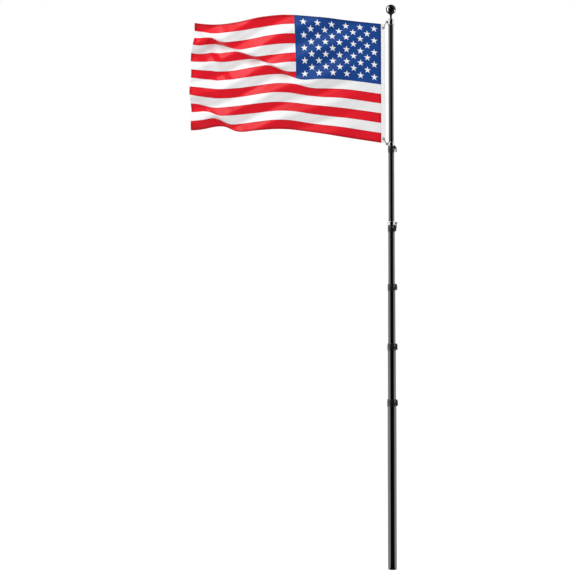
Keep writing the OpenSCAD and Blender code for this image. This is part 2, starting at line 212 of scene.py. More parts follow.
class PoleSettings(PropertyGroup):
    tube_colour: FloatVectorProperty(
        name="Tube colour", description="Gloss black of the tubes", subtype="COLOR", default=(0.003, 0.003, 0.0032))
    moulding_colour: FloatVectorProperty(
        name="Moulding colour", description="Black of the moulded clamps and caps", subtype="COLOR",
        default=(0.008, 0.008, 0.009))
    lever_colour: FloatVectorProperty(
        name="Lever colour", description="Dull black of the levers", subtype="COLOR", default=(0.006, 0.006, 0.0065))
    ball_colour: FloatVectorProperty(
        name="Ball colour", description="Deep black of the finial", subtype="COLOR", default=(0.004, 0.004, 0.004))
    ring_colour: FloatVectorProperty(
        name="Ring colour", description="Bright plating of the rings", subtype="COLOR", default=(0.86, 0.87, 0.88))
    steel_colour: FloatVectorProperty(
        name="Steel colour", description="Steel of the clips and pins", subtype="COLOR", default=(0.3, 0.3, 0.31))
    brass_colour: FloatVectorProperty(
        name="Brass colour", description="Brass of the grommets", subtype="COLOR", default=(0.16, 0.12, 0.06))
    rib_count: IntProperty(name="Lever ribs", description="Grip ribs on each clamp lever", default=8, min=1)
    rib_spacing: FloatProperty(
        name="Rib spacing", description="Distance between the ribs", unit="LENGTH", default=3.2 * MM)
    rib_radius: FloatProperty(name="Rib radius", description="Radius of a rib", unit="LENGTH", default=1.0 * MM)
    rib_width: FloatProperty(name="Rib width", description="Length of a rib", unit="LENGTH", default=11 * MM)


class FlagSettings(PropertyGroup):
    hoist: FloatProperty(
        name="Hoist", description="Height of the flag along its heading", unit="LENGTH",
        default=FLAG_TOP - FLAG_BOTTOM)
    reach: FloatProperty(
        name="Reach", description="Length of the flying cloth's top edge", unit="LENGTH",
        default=(CLOTH_X - FLY_X) / (1 + FLY_BELLY))
    thickness: FloatProperty(
        name="Thickness", description="Thickness of the cloth", unit="LENGTH", default=0.9 * MM)
    seam_rise: FloatProperty(
        name="Seam rise", description="What a seam adds to each face", unit="LENGTH", default=0.3 * MM)
    seam_width: FloatProperty(
        name="Seam width", description="Width of the felled seams", unit="LENGTH", default=8 * MM)
    hem_width: FloatProperty(
        name="Hem width", description="Width of the hems", unit="LENGTH", default=16 * MM)
    canton_share: FloatProperty(
        name="Canton share", description="Share of the length that the blue field takes", default=0.467)
    star_radius: FloatProperty(
        name="Star radius", description="Outer radius of a star", unit="LENGTH", default=28 * MM)
    red: FloatVectorProperty(name="Red", description="Red stripes", subtype="COLOR", default=(0.79, 0.006, 0.02))
    white: FloatVectorProperty(name="White", description="White stripes", subtype="COLOR", default=(0.89, 0.89, 0.9))
    star: FloatVectorProperty(name="Star", description="Stars", subtype="COLOR", default=(0.94, 0.94, 0.95))
    blue: FloatVectorProperty(name="Blue", description="Blue field", subtype="COLOR", default=(0.008, 0.06, 0.275))
    canvas: FloatVectorProperty(
        name="Canvas", description="White of the heading", subtype="COLOR", default=(0.97, 0.97, 0.975))
    columns: IntProperty(name="Columns", description="Mesh columns from hoist to fly", default=210, min=20)
    stripe_rows: IntProperty(name="Rows", description="Mesh rows in each stripe between its seams", default=8, min=2)
    stitch_pitch: FloatProperty(
        name="Stitch pitch", description="Distance from stitch to stitch", unit="LENGTH", default=4.5 * MM)
    stitch_length: FloatProperty(
        name="Stitch length", description="Length of a stitch", unit="LENGTH", default=3.4 * MM)
    stitch_thickness: FloatProperty(
        name="Stitch thickness", description="Thickness of the thread", unit="LENGTH", default=0.7 * MM)


class StageSettings(PropertyGroup):
    camera_distance: FloatProperty(
        name="Camera distance", description="Distance in front of the pole", unit="LENGTH", default=12.0)
    image_size: IntProperty(name="Image size", description="Pixels on a side of the picture", default=576)
    pixel_size: FloatProperty(
        name="Pixel size", description="Real size of a pixel at the pole", unit="LENGTH", default=7.68 * MM)
    foot_pixel: FloatVectorProperty(
        name="Foot pixel", description="Where the pole's foot lands in the picture", size=2, default=(392.5, 569.7))
    head_pixel: FloatVectorProperty(
        name="Head pixel", description="Where the ball's top lands in the picture", size=2, default=(390.85, 4.9))


class Wiring:
    """Adds nodes to one node tree and joins them."""

    def __init__(self, tree):
        self.tree = tree

    def put(self, socket, value):
        if isinstance(value, bpy.types.NodeSocket):
            self.tree.links.new(value, socket)
        else:
            socket.default_value = value

    def add(self, kind, inputs=None, **settings):
        node = self.tree.nodes.new(kind)
        for name, value in settings.items():
            setattr(node, name, value)
        for name, value in (inputs or {}).items():
            self.put(node.inputs[name], value)
        return node

    def math(self, operation, *values):
        node = self.add("ShaderNodeMath", operation=operation)
        for socket, value in zip(node.inputs, values):
            self.put(socket, value)
        return node.outputs[0]

    def times(self, first, second):
        return self.math("MULTIPLY", first, second)

    def plus(self, first, second):
        return self.math("ADD", first, second)

    def minus(self, first, second):
        return self.math("SUBTRACT", first, second)

    def most(self, first, second):
        return self.math("MAXIMUM", first, second)

    def below(self, value, limit):
        return self.math("LESS_THAN", value, limit)

    def length(self, x, y):
        return self.math("SQRT", self.plus(self.times(x, x), self.times(y, y)))

    def span(self, value, low, high, to_low=0.0, to_high=1.0):
        """Maps a value smoothly from one range to another."""
        node = self.add(
            "ShaderNodeMapRange",
            {"Value": value, "From Min": low, "From Max": high, "To Min": to_low, "To Max": to_high},
            interpolation_type="SMOOTHSTEP")
        return node.outputs[0]

    def blend(self, share, first, second):
        """Mixes two colours."""
        node = self.add("ShaderNodeMix", data_type="RGBA")
        for index, value in ((0, share), (6, first), (7, second)):
            self.put(node.inputs[index], value)
        return node.outputs[2]

    def split(self, vector):
        return self.add("ShaderNodeSeparateXYZ", {0: vector}).outputs

    def noise(self, vector, scale, detail):
        return self.add("ShaderNodeTexNoise", {"Vector": vector, "Scale": scale, "Detail": detail}).outputs["Fac"]

    def stretch(self, vector, scale):
        return self.add("ShaderNodeMapping", {"Vector": vector, "Scale": scale}).outputs[0]


def rgba(colour):
    return (*colour, 1.0)


def toned(colour, gain, lift=0.0):
    """The colour where it is rubbed, worn or shaded."""
    return rgba([gain * part + lift for part in colour])


def shader_group(name, inputs, outputs):
    """Starts a shader node group, and returns it with its wiring and its two end nodes."""
    tree = bpy.data.node_groups.new(name, "ShaderNodeTree")
    for label, kind in inputs.items():
        tree.interface.new_socket(label, in_out="INPUT", socket_type=kind)
    for label in outputs:
        tree.interface.new_socket(label, in_out="OUTPUT", socket_type="NodeSocketFloat")
    wiring = Wiring(tree)
    return tree, wiring, wiring.add("NodeGroupInput").outputs, wiring.add("NodeGroupOutput").inputs


def build_grain(name):
    """Fine grain of a moulded or painted surface, and the slow unevenness under it."""
    tree, wiring, given, made = shader_group(
        name, {"Vector": "NodeSocketVector", "Grain Scale": "NodeSocketFloat", "Cloud Scale": "NodeSocketFloat"},
        ("Grain", "Cloud"))
    wiring.put(made["Grain"], wiring.noise(given["Vector"], given["Grain Scale"], detail=2.0))
    wiring.put(made["Cloud"], wiring.noise(given["Vector"], given["Cloud Scale"], detail=4.0))
    return tree


def build_rub(name):
    """Fine lines along the pole where the parts rub as they slide or turn."""
    tree, wiring, given, made = shader_group(
        name, {"Vector": "NodeSocketVector", "Fineness": "NodeSocketVector"}, ("Lines",))
    along = wiring.add("ShaderNodeVectorMath", {0: given["Vector"], 1: given["Fineness"]}, operation="MULTIPLY")
    lines = wiring.noise(along.outputs[0], 1.0, detail=5.0)
    wiring.put(made["Lines"], wiring.span(lines, 0.42, 0.72))
    return tree


def build_weave(name):
    """Plain weave over a flat pattern given in metres: height of the threads, and painted shade that darkens the low
    places between them.
    """
    tree, wiring, given, made = shader_group(
        name, {"Vector": "NodeSocketVector", "Thread": "NodeSocketFloat"}, ("Height", "Shade"))
    across, along, _ = wiring.split(given["Vector"])
    waves = [wiring.math("SINE", wiring.times(wiring.math("DIVIDE", way, given["Thread"]), math.pi))
             for way in (across, along)]
    checks = wiring.times(*waves)
    ridges = [wiring.math("ABSOLUTE", wave) for wave in waves]
    warp = wiring.times(ridges[0], wiring.span(checks, -1.0, 0.4))
    weft = wiring.times(ridges[1], wiring.span(checks, 1.0, -0.4))
    height = wiring.most(warp, weft)
    wiring.put(made["Height"], height)
    # Painted shade: darker where the threads lie low, 0.93 at the bottom of the gaps.
    wiring.put(made["Shade"], wiring.span(height, 0.0, 0.7, 0.93, 1.0))
    return tree


def build_pattern(name):
    """Masks of the striped and starred cloth, from the flat place (u, v) on it."""
    sizes = ("Canton Share", "Length", "Height", "Star Radius", "Seam Width", "Hem Width")
    tree, wiring, given, made = shader_group(
        name, {"Vector": "NodeSocketVector", **dict.fromkeys(sizes, "NodeSocketFloat")},
        ("Red", "Blue", "Star", "Doubled"))
    u, v, _ = wiring.split(given["Vector"])
    stripe = wiring.math("FLOOR", wiring.times(v, STRIPES))
    red = wiring.below(wiring.math("MODULO", stripe, 2.0), 0.5)
    blue = wiring.times(wiring.below(u, given["Canton Share"]), wiring.below(v, CANTON_HIGH))
    wiring.put(made["Red"], red)
    wiring.put(made["Blue"], blue)
    wiring.put(made["Star"], wiring.times(star_mask(wiring, given, u, v), blue))
    doubled = doubled_mask(wiring, given, u, v, blue)
    wiring.put(made["Doubled"], wiring.times(doubled, wiring.most(red, blue)))
    return tree


def star_mask(wiring, given, u, v):
    """1 inside the stars, whose rows are shifted by half a step from one to the next."""
    across = wiring.times(wiring.math("DIVIDE", u, given["Canton Share"]), CANTON_COLUMNS)
    down = wiring.times(v, (STAR_ROWS + 1) / CANTON_HIGH)
    slants = [wiring.times(way(across, down), 0.5) for way in (wiring.plus, wiring.minus)]
    rests = [wiring.minus(slant, wiring.math("ROUND", slant)) for slant in slants]
    off_across, off_down = wiring.plus(*rests), wiring.minus(*rests)
    column, row = wiring.minus(across, off_across), wiring.minus(down, off_down)
    column_step = wiring.math("DIVIDE", wiring.times(given["Canton Share"], given["Length"]), CANTON_COLUMNS)
    row_step = wiring.times(given["Height"], -CANTON_HIGH / (STAR_ROWS + 1))
    x, y = wiring.times(off_across, column_step), wiring.times(off_down, row_step)
    radius = wiring.length(x, y)
    half_point = math.pi / STAR_POINTS
    angle = wiring.math("PINGPONG", wiring.plus(wiring.math("ARCTAN2", x, y), math.tau), half_point)
    reach = wiring.minus(wiring.times(radius, wiring.math("COSINE", angle)), given["Star Radius"])
    rise = wiring.times(radius, wiring.math("SINE", angle))
    edge = wiring.plus(wiring.times(reach, math.sin(TIP_HALF_ANGLE)), wiring.times(rise, math.cos(TIP_HALF_ANGLE)))
    inside = wiring.span(edge, STAR_EDGE, -STAR_EDGE)
    for place, last in ((column, STAR_COLUMNS), (row, STAR_ROWS)):
        inside = wiring.times(inside, wiring.math("GREATER_THAN", place, 0.5))
        inside = wiring.times(inside, wiring.below(place, last + 0.5))
    return inside


def doubled_mask(wiring, given, u, v, blue):
    """1 where a seam or a hem doubles the cloth."""
    half_seam = wiring.times(given["Seam Width"], 0.5)
    stripes = wiring.times(v, STRIPES)
    off_seam = wiring.math("ABSOLUTE", wiring.minus(stripes, wiring.math("ROUND", stripes)))
    from_seam = wiring.times(off_seam, wiring.math("DIVIDE", given["Height"], STRIPES))
    doubled = wiring.minus(wiring.below(from_seam, half_seam), blue)
    from_side = wiring.times(wiring.minus(given["Canton Share"], u), given["Length"])
    doubled = wiring.most(doubled, wiring.times(blue, wiring.below(from_side, half_seam)))
    for place, whole in ((u, given["Length"]), (v, given["Height"])):
        for share in (place, wiring.minus(1.0, place)):
            doubled = wiring.most(doubled, wiring.below(wiring.times(share, whole), given["Hem Width"]))
    return doubled


def bare_wiring(owner):
    """Empties the node tree of a material or a world."""
    owner.use_nodes = True
    owner.node_tree.nodes.clear()
    return Wiring(owner.node_tree)


def start_material(name, **constants):
    """A material with one Principled shader whose constant values are set on its own sockets."""
    material = bpy.data.materials.new(name)
    wiring = bare_wiring(material)
    shader = wiring.add("ShaderNodeBsdfPrincipled")
    for label, value in constants.items():
        shader.inputs[label.replace("_", " ")].default_value = value
    wiring.add("ShaderNodeOutputMaterial", {"Surface": shader.outputs["BSDF"]})
    return material, wiring, shader.inputs


def placed(wiring):
    return wiring.add("ShaderNodeTexCoord").outputs["Object"]


def bright_side(wiring, way):
    """1 towards the studio's white sides, and 0 towards its dark front and its dark back."""
    x, y, _ = wiring.split(way)
    facing = wiring.math("DIVIDE", y, wiring.most(wiring.length(x, y), LEAST_LENGTH))
    start, end = [wiring.span(x, -MIDDLE_SPAN, MIDDLE_SPAN, *sides) for sides in (DARK_START, DARK_END)]
    return wiring.times(wiring.span(facing, start, end), wiring.span(facing, BACK_START, BACK_END))


def bump(wiring, height, strength, distance):
    node = wiring.add("ShaderNodeBump", {"Height": height, "Strength": strength, "Distance": distance})
    return node.outputs["Normal"]


def group(wiring, build, name, **inputs):
    """Places a shared node group in a material, built when it is first asked for, and returns its outputs."""
    node = wiring.add("ShaderNodeGroup")
    node.node_tree = bpy.data.node_groups.get(name) or build(name)
    for label, value in inputs.items():
        wiring.put(node.inputs[label.replace("_", " ")], value)
    return node.outputs


def surface_grain(wiring, vector, fine, slow):
    return group(wiring, build_grain, "Surface grain", Vector=vector, Grain_Scale=fine, Cloud_Scale=slow)


def rub_lines(wiring, vector, fineness):
    return group(wiring, build_rub, "Rub lines", Vector=vector, Fineness=fineness)["Lines"]


def uneven(wiring, noise, middle, share):
    """A value that a noise takes by a share below and above its middle."""
    return wiring.span(noise, NOISE_LOW, NOISE_HIGH, middle * (1 - share), middle * (1 + share))


def gloss_black(name, colour, gloss, shine, roughness, streak):
    """Gloss-black coating with faint drawn lines along the pole."""
    material, wiring, shader = start_material(name, IOR=gloss, Specular_IOR_Level=shine)
    place = placed(wiring)
    grain = surface_grain(wiring, place, fine=900.0, slow=9.0)
    lines = rub_lines(wiring, place, (420.0, 420.0, 2.5))
    rubbed = wiring.times(lines, streak)
    wiring.put(shader["Base Color"], wiring.blend(rubbed, rgba(colour), toned(colour, 2.2, lift=0.004)))
    rough = wiring.plus(uneven(wiring, grain["Cloud"], roughness, 0.15), wiring.times(lines, 0.02))
    wiring.put(shader["Roughness"], rough)
    wiring.put(shader["Normal"], bump(wiring, grain["Cloud"], strength=0.04, distance=0.3 * MM))
    return material


def moulded_black(name, colour, gloss, shine, roughness):
    """Moulding with a fine grain and rubbed high spots, which are smoother."""
    material, wiring, shader = start_material(name, IOR=gloss, Specular_IOR_Level=shine)
    grain = surface_grain(wiring, placed(wiring), fine=1400.0, slow=60.0)
    rubbed = wiring.span(grain["Cloud"], 0.55, 0.8, 0.0, 0.5)
    wiring.put(shader["Base Color"], wiring.blend(rubbed, rgba(colour), toned(colour, 2.5, lift=0.006)))
    wiring.put(shader["Roughness"], uneven(wiring, grain["Cloud"], roughness, -0.2))
    wiring.put(shader["Normal"], bump(wiring, grain["Grain"], strength=0.05, distance=0.1 * MM))
    return material


def plated(name, colour, roughness, fineness):
    """Plated or polished metal with fine turned lines."""
    material, wiring, shader = start_material(name, Metallic=1.0)
    place = placed(wiring)
    grain = surface_grain(wiring, place, fine=700.0, slow=35.0)
    lines = rub_lines(wiring, place, fineness)
    wiring.put(shader["Base Color"], wiring.blend(wiring.times(lines, 0.5), rgba(colour), toned(colour, 0.82)))
    rough = wiring.plus(uneven(wiring, grain["Cloud"], roughness, 0.2), wiring.times(lines, 0.05))
    wiring.put(shader["Roughness"], rough)
    wiring.put(shader["Normal"], bump(wiring, lines, strength=0.04, distance=0.1 * MM))
    return material


def flag_cloth_material(flag):
    """Dyed nylon: stripes, blue field and stars from the cloth's own flat map, with its weave."""
    material, wiring, shader = start_material("Flag nylon", Specular_IOR_Level=0.2)
    flat = wiring.add("ShaderNodeUVMap", uv_map="Flat").outputs[0]
    metres = wiring.stretch(flat, (flag.reach, flag.hoist, 1.0))
    masks = group(
        wiring, build_pattern, "Stripes and stars", Vector=flat, Canton_Share=flag.canton_share,
        Length=flag.reach, Height=flag.hoist, Star_Radius=flag.star_radius, Seam_Width=flag.seam_width,
        Hem_Width=flag.hem_width)
    weave = group(wiring, build_weave, "Plain weave", Vector=metres, Thread=0.9 * MM)
    grain = surface_grain(wiring, metres, fine=220.0, slow=3.5)
    field = wiring.blend(masks["Red"], rgba(flag.white), rgba(flag.red))
    field = wiring.blend(masks["Blue"], field, rgba(flag.blue))
    field = wiring.blend(masks["Star"], field, rgba(flag.star))
    cloud = wiring.span(grain["Cloud"], NOISE_LOW, NOISE_HIGH, 0.97, 1.04)
    # Seams and hems on red and blue cloth: deeper colour of the doubled cloth, and painted shadow along them.
    deep_dye_and_shadow = wiring.span(masks["Doubled"], 0.0, 1.0, 1.0, DOUBLED_DYE_AND_SHADOW)
    # The weave's painted shade between the threads darkens the cloth here too.
    shade = wiring.times(wiring.times(weave["Shade"], cloud), deep_dye_and_shadow)
    shaded = wiring.add("ShaderNodeHueSaturation", {"Color": field, "Value": shade})
    wiring.put(shader["Base Color"], shaded.outputs[0])
    wiring.put(shader["Roughness"], wiring.span(grain["Grain"], NOISE_LOW, NOISE_HIGH, 0.34, 0.42))
    raised = wiring.plus(weave["Height"], wiring.times(masks["Star"], 2.0))
    wiring.put(shader["Normal"], bump(wiring, raised, strength=0.12, distance=0.2 * MM))
    return material


def canvas_material(flag):
    """White canvas tape of the heading."""
    material, wiring, shader = start_material("Heading canvas", Roughness=0.85, Sheen_Weight=0.1)
    place = placed(wiring)
    x, _, z = wiring.split(place)
    flat = wiring.add("ShaderNodeCombineXYZ", {"X": x, "Y": z}).outputs[0]
    weave = group(wiring, build_weave, "Plain weave", Vector=flat, Thread=1.1 * MM)
    grain = surface_grain(wiring, place, fine=260.0, slow=14.0)
    tone = wiring.blend(wiring.span(grain["Cloud"], 0.35, 0.7), rgba(flag.canvas), toned(flag.canvas, 1.0, lift=-0.02))
    # The weave's painted shade between the threads darkens the canvas.
    shaded = wiring.add("ShaderNodeHueSaturation", {"Color": tone, "Value": weave["Shade"]})
    wiring.put(shader["Base Color"], shaded.outputs[0])
    wiring.put(shader["Normal"], bump(wiring, weave["Height"], strength=0.3, distance=0.3 * MM))
    return material


def thread_material(name, colour):
    """Bonded thread with its twist, dyed to match the cloth that it sews."""
    material, wiring, shader = start_material(name, Roughness=0.6, Sheen_Weight=0.1)
    grain = surface_grain(wiring, placed(wiring), fine=1800.0, slow=40.0)
    twist = wiring.span(grain["Grain"], 0.35, 0.65)
    wiring.put(shader["Base Color"], wiring.blend(twist, rgba(colour), toned(colour, 0.82)))
    wiring.put(shader["Normal"], bump(wiring, grain["Grain"], strength=0.3, distance=0.1 * MM))
    return material


def dress(material, *names):
    """Gives CAD nodes one finish."""
    for name in names:
        mesh = frame["nodes"][name].data
        mesh.materials.clear()
        mesh.materials.append(material)


def clamp_nodes(piece):
    return [f"clamp_{k}_{piece}" for k in CLAMPS]


def add_object(name, data):
    thing = bpy.data.objects.new(name, data)
    bpy.context.scene.collection.objects.link(thing)
    return thing


def add_piece(name, mesh, body):
    piece = add_object(name, mesh)
    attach(piece, body)
    return piece


def mesh_from(bm, name):
    mesh = bpy.data.meshes.new(name)
    bm.to_mesh(mesh)
    bm.free()
    return mesh


def evaluated_mesh(thing):
    """What an object's modifiers make, as a plain mesh. The modifiers are then removed."""
    seen = thing.evaluated_get(bpy.context.evaluated_depsgraph_get())
    mesh = bpy.data.meshes.new_from_object(seen)
    thing.modifiers.clear()
    return mesh


def made_mesh(base, tree, **values):
    """Runs a geometry tree on a base mesh and returns the result as a plain mesh."""
    holder = add_object("Holder", base)
    modifier = holder.modifiers.new("Made", "NODES")
    modifier.node_group = tree
    for item in tree.interface.items_tree:
        if item.in_out == "INPUT" and item.name in values:
            modifier[item.identifier] = values[item.name]
    mesh = evaluated_mesh(holder)
    bpy.data.objects.remove(holder)
    return mesh


def geometry_tree(name, numbers):
    """Starts a geometry node tree, and returns it with its wiring and its two end nodes."""
    tree = bpy.data.node_groups.new(name, "GeometryNodeTree")
    tree.interface.new_socket("Geometry", in_out="INPUT", socket_type="NodeSocketGeometry")
    for label, kind in numbers.items():
        tree.interface.new_socket(label, in_out="INPUT", socket_type=kind)
    tree.interface.new_socket("Geometry", in_out="OUTPUT", socket_type="NodeSocketGeometry")
    wiring = Wiring(tree)
    return tree, wiring, wiring.add("NodeGroupInput").outputs, wiring.add("NodeGroupOutput").inputs


def finish_tree(wiring, instances, material, made):
    real = wiring.add("GeometryNodeRealizeInstances", {"Geometry": instances})
    smooth = wiring.add("GeometryNodeSetShadeSmooth", {"Geometry": real.outputs[0]})
    coated = wiring.add("GeometryNodeSetMaterial", {"Geometry": smooth.outputs[0], "Material": material})
    wiring.put(made["Geometry"], coated.outputs[0])


def rib_tree(material):
    """A ladder of round ribs down a lever's face."""
    tree, wiring, given, made = geometry_tree("Lever ribs", {
        "Count": "NodeSocketInt", "Spacing": "NodeSocketFloat", "Radius": "NodeSocketFloat",
        "Width": "NodeSocketFloat"})
    step = wiring.add("ShaderNodeCombineXYZ", {"Z": wiring.times(given["Spacing"], -1.0)})
    line = wiring.add("GeometryNodeMeshLine", {"Count": given["Count"], "Offset": step.outputs[0]})
    rib = wiring.add("GeometryNodeMeshCylinder", {
        "Vertices": RIB_SIDES, "Radius": given["Radius"], "Depth": given["Width"]})
    turn = wiring.add("GeometryNodeTransform", {"Geometry": rib.outputs["Mesh"], "Rotation": (math.pi / 2, 0.0, 0.0)})
    copies = wiring.add("GeometryNodeInstanceOnPoints", {"Points": line.outputs[0], "Instance": turn.outputs[0]})
    finish_tree(wiring, copies.outputs[0], material, made)
    return tree


def stitch_tree():
    """Stitches laid end to end along each line of the base mesh."""
    tree, wiring, given, made = geometry_tree("Stitch rows", {
        "Pitch": "NodeSocketFloat", "Length": "NodeSocketFloat", "Thickness": "NodeSocketFloat",
        "Thread": "NodeSocketMaterial"})
    curve = wiring.add("GeometryNodeMeshToCurve", {"Mesh": given["Geometry"]})
    even = wiring.add("GeometryNodeResampleCurve", {"Curve": curve.outputs[0], "Length": given["Pitch"]}, mode="LENGTH")
    bead = wiring.add("GeometryNodeMeshIcoSphere", {"Radius": 0.5, "Subdivisions": 1})
    size = wiring.add("ShaderNodeCombineXYZ", {
        "X": given["Length"], "Y": given["Thickness"], "Z": given["Thickness"]})
    stitch = wiring.add("GeometryNodeTransform", {"Geometry": bead.outputs["Mesh"], "Scale": size.outputs[0]})
    tangent = wiring.add("GeometryNodeInputTangent")
    aim = wiring.add("FunctionNodeAlignRotationToVector", {"Vector": tangent.outputs[0]}, axis="X")
    copies = wiring.add("GeometryNodeInstanceOnPoints", {
        "Points": even.outputs[0], "Instance": stitch.outputs[0], "Rotation": aim.outputs[0]})
    finish_tree(wiring, copies.outputs[0], given["Thread"], made)
    return tree


def ease(t):
    c = min(max(t, 0.0), 1.0)
    return c * c * (3 - 2 * c)


def hump(t):
    return math.exp(-t * t)


def turns(t):
    return math.sin(math.tau * t)


def fold_growth(u):
    """How much of the long fold there is."""
    return ease((u - FOLD_START) / FOLD_GROWTH) * (1 - ease((u - FOLD_END) / FOLD_FADE))


def fold_turn(u, v):
    """0 above the long fold and 1 below it."""
    return ease(0.5 + (v - FOLD_V + FOLD_SLOPE * (u - FOLD_U)) / FOLD_WIDTH)


def tuck(u):
    """How much of the short tuck by the fly's lower corner there is."""
    return hump((u - TUCK_U) / TUCK_SPAN)


def tuck_turn(u, v):
    return ease(0.5 + (v - TUCK_V + TUCK_SLOPE * (u - TUCK_U)) / TUCK_WIDTH)


def cloth_way(u, v):
    """How far down the cloth a row shows, less what the fold and the tuck take in."""
    return v - FOLD_LOSS * fold_growth(u) * fold_turn(u, v) - TUCK_LOSS * tuck(u) * tuck_turn(u, v)


def fly(u):
    return ease((u - FLY_START) / FLY_SPAN)


def cloth_sway(u):
    """How far the rows at half height hang below their even places, as a share of the height."""
    middle = ease((u - SWAY_START) / SWAY_SPAN)
    return HOIST_SWAY * (1 - middle) + MIDDLE_SWAY * (middle - fly(u)) + FLY_SWAY * fly(u)


def cloth_reach(u, v):
    """Share of the way from the heading to the fly."""
    belly = FLY_BELLY * u ** 3 * math.sin(math.radians(FLY_BELLY_TURN * v))
    lean = LEAN * math.sin(math.pi * u) * math.sin(math.pi * v)
    pull = FLY_PULL * fly(u) * (1 - math.cos(math.tau * FLY_CURLS * v)) / 2
    return u + belly - lean - pull


def wave(t):
    """Wave with cornered crests, so that its flanks are nearly flat."""
    return turns(t) - WAVE_CORNER * turns(3 * t)


def crease(u, v):
    across = hump((v - CREASE_V + CREASE_SLOPE * (u - CREASE_U)) / CREASE_WIDTH)
    return CREASE_DEPTH * across * hump((v - CREASE_V) / CREASE_V)


def cloth_depth(u, v):
    """Distance of the cloth behind the pole's middle plane, as a share of the hoist."""
    fold = FOLD_DEPTH * fold_growth(u) * (fold_turn(u, v) - v) + TUCK_DEPTH * tuck(u) * tuck_turn(u, v)
    rising = -RISING_WAVE * ease(u / RISING_GROWTH) * wave(RISING_CRESTS[0] * u + RISING_CRESTS[1] * v)
    falling = FALLING_WAVE * ease((u - FALLING_START) / (1 - FALLING_START))
    falling *= wave(FALLING_CRESTS[0] * u + FALLING_CRESTS[1] * v)
    return fold + rising + falling + FLY_CURL * fly(u) * turns(FLY_CURLS * v) - crease(u, v)


def cloth_point(flag, u, v):
    """Place of the cloth's middle surface."""
    sink = ease((u - SINK_START) / SINK_SPAN)
    top = FLAG_TOP + flag.hoist * (TOP_CLIMB * u - TOP_SINK * sink)
    lift = TUCK_LOSS * tuck(u) * tuck_turn(u, 1.0)
    bottom = FLAG_BOTTOM + flag.hoist * (BOTTOM_CLIMB * u - BOTTOM_SINK * sink + lift)
    fall = cloth_way(u, v) / cloth_way(u, 1.0) + cloth_sway(u) * math.sin(math.pi * v)
    x = CLOTH_X - flag.reach * cloth_reach(u, v)
    return Vector((x, flag.hoist * cloth_depth(u, v), top + (bottom - top) * fall))


def cloth_normal(flag, u, v):
    """Direction of the cloth's front face, which looks towards -Y."""
    along = cloth_point(flag, u + SLOPE_STEP, v) - cloth_point(flag, u - SLOPE_STEP, v)
    down = cloth_point(flag, u, v + SLOPE_STEP) - cloth_point(flag, u, v - SLOPE_STEP)
    return down.cross(along).normalized()


def seam_share(flag, u, v):
    """1 on a seam or hem and 0 on single cloth."""
    half_seam = flag.seam_width / 2
    hem_u = flag.hem_width / flag.reach
    hem_v = flag.hem_width / flag.hoist
    if u > 1 - hem_u or v < hem_v or v > 1 - hem_v:
        return 1
    in_canton = v < CANTON_HIGH and u < flag.canton_share
    near_canton_side = abs(u - flag.canton_share) * flag.reach < half_seam and v < CANTON_HIGH
    boundary = round(v * STRIPES) / STRIPES
    near_boundary = abs(v - boundary) * flag.hoist < half_seam
    on_canton_foot = abs(boundary - CANTON_HIGH) < 0.5 / STRIPES
    return int(near_canton_side or (near_boundary and (not in_canton or on_canton_foot)))


def sorted_lines(values):
    return sorted({round(value, 6) for value in values if 0.0 <= value <= 1.0})


def lines_round(place, half_width, whole):
    """Two close lines on either side of a place, for a crisp step, as shares of the whole size."""
    half, edge = half_width / whole, SEAM_EDGE / whole
    return [place - half - edge, place - half + edge, place + half - edge, place + half + edge]


def cloth_lines(flag):
    """The flat places of the mesh's columns and rows, with close pairs at seams and hems."""
    us = [i / flag.columns for i in range(flag.columns + 1)]
    us += lines_round(flag.canton_share, flag.seam_width / 2, flag.reach)
    us += lines_round(1.0, flag.hem_width, flag.reach)
    vs = [i / STRIPES / flag.stripe_rows for i in range(STRIPES * flag.stripe_rows + 1)]
    for boundary in range(1, STRIPES):
        vs += lines_round(boundary / STRIPES, flag.seam_width / 2, flag.hoist)
    for side in (0.0, 1.0):
        vs += lines_round(side, flag.hem_width, flag.hoist)
    return sorted_lines(us), sorted_lines(vs)


def stripe_colour(stripe):
    return "white" if stripe % 2 else "red"


def spread(start, end):
    """Flat places along a line on the cloth, close enough to follow its folds."""
    (u, v), (last_u, last_v) = start, end
    steps = max(2, round(ROW_STEPS * max(abs(last_u - u), abs(last_v - v))))
    return [(u + (last_u - u) * i / steps, v + (last_v - v) * i / steps) for i in range(steps + 1)]


class FLAGPOLE_OT_tubes(Operator):
    """Finish the tubes, the base cap and the top plug"""
    bl_idname = "flagpole.tubes"
    bl_label = "Tubes and Caps"

    def execute(self, context):
        pole = context.scene.flagpole_pole
        coating = gloss_black(
            "Tube gloss black", pole.tube_colour, gloss=2.0, shine=0.75, roughness=0.07, streak=0.15)
        dress(coating, *[f"tube_{k}" for k in SECTIONS])
        satin = moulded_black("Cap black", pole.moulding_colour, gloss=1.7, shine=0.6, roughness=0.2)
        dress(satin, "base_cap", "top_plug")
        return {"FINISHED"}


